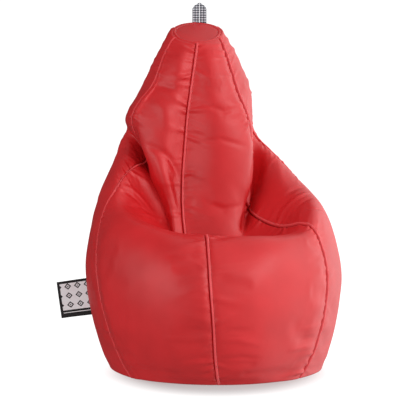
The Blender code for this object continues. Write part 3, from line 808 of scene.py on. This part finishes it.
stitchLines = {}
for index, (name, node, start, end, wide, long, cut) in enumerate(goreNames):
    first, last = gores["seams"][start], gores["seams"][end]
    last += body.columns if last < first else 0
    shape, fromStart, fromEnd, along, lapHighlight = goreShape(start, end, first, last, 10 * index + 1)
    piece = gridPiece(name, shape, red, fromStart, -along, lapHighlight)
    thicken(piece, gores["thickness"])
    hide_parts(node)
    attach(piece, "bag")
    stitchLines[start] = shape
    print("made", name, round(float((fromStart + fromEnd).max()), 3), "by", round(float(along.max()), 3),
          "m, area", round(sum(f.area for f in piece.data.polygons), 3), "faces", len(piece.data.polygons))

# the cap

# the cap's height over its dome, in millimetres, from the middle (0) to its seam (1)
capProfile = [(0, 0), (0.5, 0.4), (0.8, 0.5), (0.87, 0), (0.885, -0.5), (0.9, 0.1), (0.92, 1.6), (0.95, 2.7),
              (0.975, 2.8), (0.99, 2.2), (1.0, 0.9), (1.006, -0.8), (1.004, -2.6)]
capColumns = np.linspace(0, body.columns, body.columns * cap["columnSteps"] + 1)


def capShape():
    edge = [0.996, 1.0, 1.004, 1.006, 1.004]  # the lap's edge turns under
    shares = np.concatenate([[0], np.linspace(0.08, 0.84, 16), np.linspace(0.86, 0.99, 18), edge])
    knots, heights = zip(*capProfile[:-1])
    rise = np.interp(shares, knots, heights)
    rise[-1] = capProfile[-1][1]
    seam = capShare(capColumns)
    shape = np.array([domePoint(capColumns, seam * share) for share in shares])
    shape = shape + capUp * (rise * mm)[:, None, None]
    angle = np.linspace(0, 2 * np.pi, len(capColumns))
    # the lap is gathered a little all round, and stands up where the front seam runs in under it
    gathers = 0.5 * mm * np.sin(23 * angle) + 0.35 * mm * np.sin(37 * angle + 1)
    gathers = gathers + 1.6 * mm * np.exp(-((capColumns - 17) / 1.2) ** 2)
    band = np.exp(-(((shares - 0.95) / 0.06) ** 2))[:, None] * gathers
    centre = 1.2 * mm * cloudNoise(shape, 9, 45 * mm) * np.clip(1 - shares, 0, 1)[:, None]
    return shape + capUp * (band + centre)[..., None], shares


capPoints, capShares = capShape()
across, down = np.meshgrid(np.linspace(0, 0.54, len(capColumns)), capShares * 86 * mm)
capPiece = gridPiece("cap_cover", capPoints, red, across, down)
weld(capPiece, 0.01 * mm)
thicken(capPiece, gores["thickness"])
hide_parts("top_cap")
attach(capPiece, "bag")
print("cap made")

# topstitching

stitching = {
    "pitch": 4.6 * mm,
    "length": 3.7 * mm,
    "thick": 0.55 * mm,
    "column": 13,  # the lap's column that the needle went through
    "capShare": 0.885,  # and how far out it went round the cap
    "proud": 0.15 * mm,  # how far the thread's middle stands out of the cloth
}


def sewingThread():
    # twisted polyester thread: a dull red with a slight sheen and the twist's slant across it
    made, tree, shader = newMaterial("twisted_polyester_thread", Roughness=0.55, Sheen_Weight=0.3)
    place = addNode(tree, "ShaderNodeTexCoord").outputs["Object"]
    twist = addNode(tree, "ShaderNodeTexWave", {"Scale": 900, "Distortion": 1}, {"Vector": place},
                    bands_direction="DIAGONAL")
    colour = addNode(tree, "ShaderNodeValToRGB", {"Fac": twist.outputs["Fac"]},
                     stops=[(0.2, "#8E1017"), (0.8, "#A8161E")]).outputs["Color"]
    ridges = addNode(tree, "ShaderNodeBump", {"Strength": 0.4, "Distance": 0.1 * mm},
                     {"Height": twist.outputs["Fac"]})
    tree.links.new(colour, shader.inputs["Base Color"])
    tree.links.new(ridges.outputs["Normal"], shader.inputs["Normal"])
    return made


thread = sewingThread()


def addStitches(bm, line, facing):
    # one small bead of thread after another along a line
    pitch, length, thick = stitching["pitch"], stitching["length"], stitching["thick"]
    along = np.concatenate([[0], np.cumsum(np.linalg.norm(np.diff(line, axis=0), axis=1))])
    for k in range(int(along[-1] / pitch)):
        ends = [np.array([np.interp(s, along, line[:, a]) for a in range(3)])
                for s in ((k + 0.5) * pitch - length / 2, (k + 0.5) * pitch + length / 2)]
        middle = (ends[0] + ends[1]) / 2
        way = Vector(ends[1] - ends[0]).normalized()
        up = Vector([np.interp((k + 0.5) * pitch, along, facing[:, a]) for a in range(3)])
        side = way.cross(up).normalized()
        up = side.cross(way)
        turn = Matrix((way, side, up)).transposed().to_4x4()
        size = Matrix.Diagonal((length / 2, thick, thick * 0.8, 1))
        place = Matrix.Translation(Vector(middle) + up * stitching["proud"])
        bmesh.ops.create_icosphere(bm, subdivisions=1, radius=1, matrix=place @ turn @ size)


bm = bmesh.new()
for start, shape in stitchLines.items():
    line = shape[2:-2, stitching["column"]]
    across = shape[2:-2, stitching["column"] + 1] - shape[2:-2, stitching["column"] - 1]
    down = np.gradient(line, axis=0)
    facing = np.cross(down, across)
    addStitches(bm, line, facing / np.linalg.norm(facing, axis=1, keepdims=True))
ring = capPoints[int(np.argmin(np.abs(capShares - stitching["capShare"])))]
addStitches(bm, ring, np.broadcast_to(capUp, ring.shape))
stitches = finished("seam_topstitching", bm, thread)
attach(stitches, "bag")
print("stitches made:", len(stitches.data.polygons), "faces")

# what is inside: the liner and its beads

inside = {
    "linerDepth": 52 * mm,  # clear of the deepest fold
    "linerLift": 7 * mm,
    "fillDepth": 55 * mm,
    "fillLift": 9 * mm,
    "steps": 3,
    "bumps": (1.0 * mm, 21, 60 * mm),  # height, seed and length, the same for both so that they stay apart
}


def closedSkin(name, depth, bottom, material):
    # a closed form that lies this deep inside the cover
    height, seed, wave = inside["bumps"]
    rowCount, columnCount = lastRow * inside["steps"] + 1, body.columns * inside["steps"] + 1
    rows = np.linspace(0.25, lastRow, rowCount)[:, None]
    columns = np.linspace(0, body.columns, columnCount)[None]
    rows, columns = np.broadcast_arrays(rows, columns)
    shape = body.at(rows, columns)
    facing = body.normal(np.clip(rows, 0.04, lastRow - 0.04), columns)
    shape = shape - facing * (depth + height * cloudNoise(shape, seed, wave))[..., None]
    shape[..., 2] = np.maximum(shape[..., 2], bottom)
    shape = np.concatenate([shape[:1].mean(1, keepdims=True).repeat(columnCount, 1), shape,
                            np.broadcast_to([0, 0, bottom], (1, columnCount, 3))])
    across, down = np.meshgrid(np.linspace(0, 2.4, columnCount), np.linspace(0, -1.3, rowCount + 2))
    piece = gridPiece(name, shape, material, across, down)
    weld(piece, 0.05 * mm)
    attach(piece, "bag")
    return piece


def bumpyMaterial(name, kind, scale, colours, height, options=None, **settings):
    # one pattern in object space for both the colour and the bumps
    made, tree, shader = newMaterial(name, **settings)
    place = addNode(tree, "ShaderNodeTexCoord").outputs["Object"]
    pattern = addNode(tree, kind, {"Scale": scale}, {"Vector": place}, **(options or {}))
    value = pattern.outputs["Distance" if kind == "ShaderNodeTexVoronoi" else "Fac"]
    colour = addNode(tree, "ShaderNodeValToRGB", {"Fac": value}, stops=zip((0.2, 0.75), colours))
    bump = addNode(tree, "ShaderNodeBump", {"Strength": 0.5, "Distance": height}, {"Height": value})
    tree.links.new(colour.outputs["Color"], shader.inputs["Base Color"])
    tree.links.new(bump.outputs["Normal"], shader.inputs["Normal"])
    return made


# spunbonded polypropylene: off-white, matt, pressed fibres
linerCloth = bumpyMaterial("spunbonded_liner_cloth", "ShaderNodeTexNoise", 300, ("#D2CFC6", "#E0DDD4"),
                           0.3 * mm, Roughness=0.85)
# expanded polystyrene beads of about 4 mm seen as a packed surface
beadMix = bumpyMaterial("packed_polystyrene_beads", "ShaderNodeTexVoronoi", 250, ("#F4F3F0", "#D9D8D4"),
                        1.5 * mm, Roughness=0.6)
liner = closedSkin("bead_liner_bag", inside["linerDepth"], inside["linerLift"], linerCloth)
thicken(liner, 0.6 * mm)
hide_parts("inner_liner")
beads = closedSkin("bead_filling", inside["fillDepth"], inside["fillLift"], beadMix)
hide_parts("bead_fill")
print("liner and beads made")

# the side label

label = {
    "columns": 60,
    "rows": 52,
    "rootTuck": 7 * mm,
    "border": 8.5 * mm,
    "thickness": 0.9 * mm,
    "curl": 5 * mm,
    "bandTop": 25 * mm,
    "line": (0.66, 1.1 * mm),  # the band's light line: its place up the band and half its width
    "squareUp": 12 * mm,  # how much further out the lower corner hangs
    "cell": 31 * mm,
    "cellShift": 4 * mm,
    "diamond": (0.20, 0.36, 0.09),  # its inner and outer edge and its dot's, as shares of a cell
    "threadGap": 0.9 * mm,  # threads lie about 0.3 mm apart; they are drawn wider so that they can be seen
    "bend": (2 * mm, 12 * mm),  # the cloth bends from this far inside the seam to this far outside it
}


def labelCorners():
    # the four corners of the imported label, from its hinge's axis and its own mesh
    joint = next(j for j in frame["joints"] if j["name"] == "label_flip")
    root, up = np.array(joint["pos_m"]), np.array(joint["axis"])
    up = up / np.linalg.norm(up)
    co = np.array([v.co[:] for v in frame["nodes"]["side_label"].data.vertices])
    reach = np.linalg.norm(np.cross(co - root, up), axis=1)
    far = co[reach > reach.max() * 0.8]
    near = co[reach < reach.max() * 0.2]
    corners = []
    for group in (near, far):
        height = (group - root) @ up
        middle = (height.max() + height.min()) / 2
        corners += [group[height < middle].mean(0), group[height > middle].mean(0)]
    return corners, root, up


(lowNear, highNear, lowFar, highFar), labelRoot, labelUp = labelCorners()
outWay = (lowFar + highFar - lowNear - highNear) / 2
labelLong, labelTall = np.linalg.norm(outWay), np.linalg.norm(highNear - lowNear)
outWay = outWay / labelLong
labelFace = np.cross(labelUp, outWay)
labelFace /= np.linalg.norm(labelFace)

u = np.linspace(-label["rootTuck"] / labelLong, 1, label["columns"])[::-1]
v = np.linspace(1, 0, label["rows"])
uu, vv = np.meshgrid(u, v)
near = lowNear + (highNear - lowNear) * vv[..., None]
far = lowFar + (highFar - lowFar) * vv[..., None]
shape = near + (far - near) * uu[..., None]
hang = np.clip(uu, 0, 1)
shape = shape + outWay * (label["squareUp"] * hang * (1 - vv))[..., None]
bend = label["curl"] * hang**2 * np.sin((vv - 0.35) * 2.2) + 1.4 * mm * np.sin(uu * 7 + vv * 2) * hang
shape = shape + labelFace * bend[..., None]


def damaskLabel():
    # woven damask polyester: matt, fine crosswise threads, a black border, a pale field with a lattice of
    # diamonds and a plain dark band below
    made, tree, shader = newMaterial("woven_damask_label", Roughness=0.72, Sheen_Weight=0.15)
    uv = addNode(tree, "ShaderNodeUVMap", uv_map="cloth").outputs["UV"]
    split = addNode(tree, "ShaderNodeSeparateXYZ", {"Vector": uv})
    known = {"out": split.outputs["X"], "up": split.outputs["Y"]}
    inner, outer, dot = label["diamond"]
    linePlace, lineHalf = label["line"]
    # each row: the sum's name, what it does and its two terms, each a number or the name of an earlier sum
    eachWay = [
        ("shifted {}", "ADD", "{}", label["cellShift"]), ("cells {}", "DIVIDE", "shifted {}", label["cell"]),
        ("cell {}", "FRACT", "cells {}", 0), ("centred {}", "SUBTRACT", "cell {}", 0.5),
        ("reach {}", "ABSOLUTE", "centred {}", 0),
        ("turns {}", "MULTIPLY", "{}", 2 * math.pi / label["threadGap"]),
        ("thread {}", "SINE", "turns {}", 0),
    ]
    sums = [(name.format(way), operation, first.format(way), second)
            for way in ("out", "up") for name, operation, first, second in eachWay]
    sums += [
        ("to end", "SUBTRACT", labelLong, "out"), ("to top", "SUBTRACT", labelTall, "up"),
        ("to side", "MINIMUM", "up", "to top"), ("to edge", "MINIMUM", "to end", "to side"),
        ("border", "LESS_THAN", "to edge", label["border"]), ("band", "LESS_THAN", "up", label["bandTop"]),
        ("reach", "ADD", "reach out", "reach up"), ("inside", "LESS_THAN", "reach", outer),
        ("outside", "GREATER_THAN", "reach", inner), ("diamond", "MULTIPLY", "inside", "outside"),
        ("dot", "LESS_THAN", "reach", dot), ("motif", "MAXIMUM", "diamond", "dot"),
        ("over line", "SUBTRACT", "up", label["bandTop"] * linePlace),
        ("from line", "ABSOLUTE", "over line", 0),
        ("near line", "LESS_THAN", "from line", lineHalf), ("field", "SUBTRACT", 1, "border"),
        ("line", "MULTIPLY", "near line", "field"), ("edges", "MAXIMUM", "border", "band"),
        ("marks", "MAXIMUM", "edges", "motif"), ("unlined", "SUBTRACT", 1, "line"),
        ("dark", "MULTIPLY", "marks", "unlined"), ("weave", "MULTIPLY", "thread out", "thread up"),
    ]
    for name, operation, first, second in sums:
        terms = {0: known.get(first, first), 1: known.get(second, second)}
        known[name] = addNode(tree, "ShaderNodeMath", terms, operation=operation).outputs[0]
    shade = addNode(tree, "ShaderNodeMapRange", {"From Min": -1, "From Max": 1, "To Min": 0.88, "To Max": 1},
                    {"Value": known["weave"]})
    mixed = addNode(tree, "ShaderNodeMix", {"A": "#E6E6E8", "B": "#0E0E10"}, {"Factor": known["dark"]},
                    data_type="RGBA")
    colour = addNode(tree, "ShaderNodeMix", {"Factor": 1.0}, {"A": mixed.outputs[2], "B": shade.outputs[0]},
                     data_type="RGBA", blend_type="MULTIPLY")
    bump = addNode(tree, "ShaderNodeBump", {"Strength": 0.4, "Distance": 0.2 * mm},
                   {"Height": known["weave"]})
    tree.links.new(colour.outputs[2], shader.inputs["Base Color"])
    tree.links.new(bump.outputs["Normal"], shader.inputs["Normal"])
    return made


woven = damaskLabel()
labelPiece = gridPiece("woven_side_label", shape, woven, uu * labelLong, vv * labelTall)
thicken(labelPiece, label["thickness"], 0)
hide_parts("side_label")
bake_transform(labelPiece)
print("label made")

# the carrying loop

loop = {
    "tape": 23 * mm,
    "tall": 62 * mm,
    "thick": 1.1 * mm,
    "tuck": 9 * mm,
    "gap": 0.7 * mm,  # half the gap between the two legs
    "columns": 15,
    "rows": 40,
    "lean": {-1: -0.55 * mm, 1: 0.75 * mm},  # the leg behind leans back where the other folds over it
    "check": (9.2 * mm, 7.8 * mm),  # each stripe is about 4 mm wide
    "ribGap": 1.4 * mm,
    "shades": [(0.0, "#191A20"), (0.35, "#191A20"), (0.4, "#5B5E68"), (0.55, "#5B5E68"), (0.6, "#858993"),
               (0.95, "#D4D6DB")],
    "bend": (4 * mm, 6 * mm),  # it bends from this far below its seam to this far above it
}
loopLow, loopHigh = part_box("carry_loop")
loopMiddle = (loopLow.x + loopHigh.x) / 2
loopBack = loopHigh.y


def checkedWebbing():
    # jacquard polyester webbing: a check of white, grey and near-black threads, matt, with ribs across
    made, tree, shader = newMaterial("checked_polyester_webbing", Roughness=0.68, Sheen_Weight=0.2)
    uv = addNode(tree, "ShaderNodeUVMap", uv_map="cloth").outputs["UV"]
    split = addNode(tree, "ShaderNodeSeparateXYZ", {"Vector": uv})
    known = {"across": split.outputs["X"], "along": split.outputs["Y"]}
    wide, tall = loop["check"]
    sums = [
        ("shifted", "ADD", "across", 0.2), ("columns", "DIVIDE", "shifted", wide),
        ("column", "FRACT", "columns", 0), ("upright", "GREATER_THAN", "column", 0.5),
        ("raised", "ADD", "along", 0.2), ("rows", "DIVIDE", "raised", tall),
        ("row", "FRACT", "rows", 0), ("level", "GREATER_THAN", "row", 0.5),
        ("paler", "MULTIPLY", "upright", 0.4), ("palest", "MULTIPLY", "level", 0.6),
        ("check", "ADD", "paler", "palest"),
        ("turns", "MULTIPLY", "along", 2 * math.pi / loop["ribGap"]), ("ribs", "SINE", "turns", 0),
    ]
    for name, operation, first, second in sums:
        terms = {0: known.get(first, first), 1: known.get(second, second)}
        known[name] = addNode(tree, "ShaderNodeMath", terms, operation=operation).outputs[0]
    colour = addNode(tree, "ShaderNodeValToRGB", {"Fac": known["check"]}, stops=loop["shades"])
    bump = addNode(tree, "ShaderNodeBump", {"Strength": 0.5, "Distance": 0.3 * mm}, {"Height": known["ribs"]})
    tree.links.new(colour.outputs["Color"], shader.inputs["Base Color"])
    tree.links.new(bump.outputs["Normal"], shader.inputs["Normal"])
    return made


webbing = checkedWebbing()


def loopTop(x):
    # the mitred fold's outline over the loop's width
    return np.interp(np.abs(x), [0, 0.82 * loop["tape"], loop["tape"]],
                     [loop["tall"], loop["tall"] * 0.80, loop["tall"] * 0.66])


def loopLeg(name, side):
    across = np.linspace(loop["gap"], loop["tape"], loop["columns"]) * side
    if side < 0:
        across = across[::-1]
    up = np.linspace(1, 0, loop["rows"])
    x = np.broadcast_to(across[None], (len(up), len(across)))
    z = -loop["tuck"] + up[:, None] * (loopTop(x) + loop["tuck"])
    bow = 1.0 * mm * np.cos(np.clip(z / loop["tall"], 0, 1) * np.pi) + 0.5 * mm * np.sin(x / loop["tape"] * 3)
    folded = np.clip((z - 0.5 * loop["tall"]) / (0.2 * loop["tall"]), 0, 1)
    layer = loopBack - loop["thick"] - loop["lean"][side] * folded
    shape = np.stack([loopMiddle + x, layer - 0.2 * np.abs(bow), loopLow.z + z], -1)
    piece = gridPiece(name, shape, webbing, x, z)
    thicken(piece, loop["thick"], 0)
    return piece


for leg in [loopLeg("carry_loop_left_leg", -1), loopLeg("carry_loop_right_leg", 1)]:
    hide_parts("carry_loop")
    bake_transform(leg)
print("loop made")

# the base and its zip

base = {
    "lattice": 24 * mm,
    "thickness": 1.1 * mm,
    "waves": (0.5 * mm, 31, 60 * mm),  # height, seed and length
    "pieces": [("base_front_cloth", "base_front_panel", (0.665, 0.505), 0.26),
               ("base_rear_cloth", "base_rear_panel", (0.575, 0.180), 0.072)],
}
zipper = {
    "coilTurns": 216,
    "perTurn": 8,
    "around": 6,
    "wire": 0.33 * mm,
    "columns": 120,
    # the tape's place away from the zip's middle and its height, in millimetres
    "tape": [(2.6, 3.2), (4.0, 3.25), (5.2, 3.15), (6.2, 2.7), (7.2, 2.1), (8.2, 1.8), (10, 1.8), (13, 1.85),
             (16, 1.8), (19, 1.8)],
}
# woven polyester base cloth, black, coated inside: matt twill
baseCloth = bumpyMaterial("black_polyester_base_cloth", "ShaderNodeTexWave", 420, ("#101011", "#1D1D1F"),
                          0.2 * mm, {"bands_direction": "DIAGONAL"}, Roughness=0.82, Sheen_Weight=0.25)
# woven polyester zip tape: black and matt, with fine ribs along it
tapeCloth = bumpyMaterial("herringbone_zip_tape", "ShaderNodeTexWave", 520, ("#0C0C0D", "#1A1A1B"), 0.2 * mm,
                          {"bands_direction": "X"}, Roughness=0.8)
# extruded nylon coil: near-black with a waxy gloss
coilNylon = bumpyMaterial("extruded_nylon_coil", "ShaderNodeTexNoise", 900, ("#0B0B0C", "#151516"), 0.05 * mm,
                          Roughness=0.34)
# zinc casting under a black chrome finish, a little rubbed
blackZinc = bumpyMaterial("black_chromed_zinc", "ShaderNodeTexNoise", 350, ("#2A2A2C", "#4A4A4D"), 0.04 * mm,
                          Roughness=0.32, Metallic=1.0)
# hook and loop tape: off-white, matt and furry
hookTape = bumpyMaterial("hook_and_loop_tape", "ShaderNodeTexVoronoi", 700, ("#C9C8C2", "#E2E1DC"), 0.6 * mm,
                         Roughness=0.9)
zipMiddle = (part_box("zip_tape_front")[1].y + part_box("zip_tape_rear")[0].y) / 2
zipLow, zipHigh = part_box("zip_tape_front")


def basePanel(name, node, flat, area):
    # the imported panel's underside, cut into a lattice and let wave a little, then given its thickness again
    bm = mergedCopy(node)
    bmesh.ops.delete(bm, geom=[f for f in bm.faces if f.normal.z > -0.5], context="FACES")
    bmesh.ops.dissolve_limit(bm, angle_limit=0.05, verts=bm.verts, edges=bm.edges)
    low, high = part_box(node)
    height, seed, wave = base["waves"]
    for axis in (0, 1):
        for place in np.arange(low[axis] + base["lattice"], high[axis], base["lattice"]):
            co, no = Vector((0, 0, 0)), Vector((0, 0, 0))
            co[axis], no[axis] = place, 1
            bmesh.ops.bisect_plane(bm, geom=bm.verts[:] + bm.edges[:] + bm.faces[:], plane_co=co, plane_no=no)
    for v in bm.verts:
        v.co.z = 0.05 * mm + height * abs(float(cloudNoise(np.array(v.co[:])[None], seed, wave)[0]))
    piece = finished(name, bm, baseCloth)
    thicken(piece, base["thickness"])
    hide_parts(node)
    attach(piece, "bag")


for cloth in base["pieces"]:
    basePanel(*cloth)


def ribbon(name, profile, material, start, end, wave):
    # a strip along X: the profile gives its (y, z) across, seen from below; the wave is in millimetres
    along = np.linspace(start, end, zipper["columns"])
    profile = np.array(profile) * mm
    x = np.broadcast_to(along[None], (len(profile), len(along)))
    y = np.broadcast_to(profile[:, :1], x.shape)
    z = np.broadcast_to(profile[:, 1:], x.shape) + wave * np.sin(x * 90) * mm
    return gridPiece(name, np.stack([x, y, z], -1), material, x, y)


def coil(name, node):
    # a nylon coil: a wire wound into a flat helix along the zip
    turns, wire = zipper["coilTurns"], zipper["wire"]
    low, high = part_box(node)
    t = np.linspace(0, turns, turns * zipper["perTurn"] + 1)
    x = low.x + 0.4 * mm + (high.x - low.x - 0.8 * mm) * t / turns
    y = (low.y + high.y) / 2 + ((high.y - low.y) / 2 - wire) * np.cos(2 * np.pi * t)
    z = (low.z + high.z) / 2 + ((high.z - low.z) / 2 - wire) * np.sin(2 * np.pi * t)
    line = np.stack([x, y, z], -1)
    way = np.gradient(line, axis=0)
    way /= np.linalg.norm(way, axis=1, keepdims=True)
    first = np.cross(way, [1.0, 0, 0])
    first /= np.linalg.norm(first, axis=1, keepdims=True)
    second = np.cross(way, first)
    angle = np.linspace(0, 2 * np.pi, zipper["around"] + 1)
    circle = np.cos(angle)[None, :, None] * first[:, None] + np.sin(angle)[None, :, None] * second[:, None]
    across, down = np.meshgrid(angle, t * 3 * mm)
    piece = gridPiece(name, line[:, None] + wire * circle, coilNylon, across, down)
    weld(piece, 0.01 * mm, capped=True)
    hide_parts(node)
    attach(piece, "bag")


for side, sign in (("front", -1), ("rear", 1)):
    profile = [(zipMiddle / mm + sign * y, z) for y, z in zipper["tape"]][::sign]
    tape = ribbon(f"zip_tape_{side}_woven", profile, tapeCloth, zipLow.x, zipHigh.x, 0.08)
    thicken(tape, 0.55 * mm, 0)
    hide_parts(f"zip_tape_{side}")
    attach(tape, "bag")
    coil(f"zip_coil_{side}", f"zip_teeth_{side}")
for node in ("zip_slider", "zip_stop_left", "zip_stop_right"):
    frame["nodes"][node].data.materials.clear()
    frame["nodes"][node].data.materials.append(blackZinc)
hookLow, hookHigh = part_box("liner_closure")
across = np.linspace(hookLow.y / mm, hookHigh.y / mm, 12)
profile = [(y, hookLow.z / mm + 0.45 + 0.1 * math.sin(k)) for k, y in enumerate(across)]
hooks = ribbon("liner_mouth_tape", profile, hookTape, hookLow.x, hookHigh.x, 0.05)
thicken(hooks, 0.6 * mm, 0)
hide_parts("liner_closure")
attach(hooks, "bag")
print("base and zip made")
